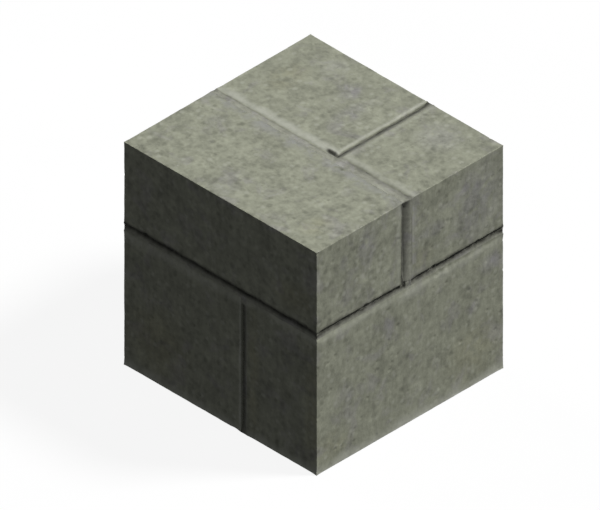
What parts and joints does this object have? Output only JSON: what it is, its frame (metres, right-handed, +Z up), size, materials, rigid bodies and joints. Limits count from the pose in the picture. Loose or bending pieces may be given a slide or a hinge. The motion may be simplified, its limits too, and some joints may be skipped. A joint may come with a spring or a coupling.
{
  "type": "column base block",
  "caption": "Near-cubic masonry base for a column: squared blocks in bonded courses with struck mortar joints, worn arrises and a flat seat on top.",
  "frame": {"origin": "centre of the bounding box at the underside, where the base stands on the ground", "axes": "+Z up through the seat; -Y looks out of the side with one long block over two; +X looks out of the side with two blocks over one"},
  "size_m": [0.3048, 0.2954, 0.3048],
  "materials": {
    "block_stone": "matte",
    "joint_mortar": "matte"
  },
  "bodies": {
    "root": {"front_stretcher": "block_stone", "back_left_block": "block_stone", "back_right_block": "block_stone", "lower_left_block": "block_stone", "lower_right_stretcher": "block_stone", "mortar": "joint_mortar"}
  },
  "joints": []
}
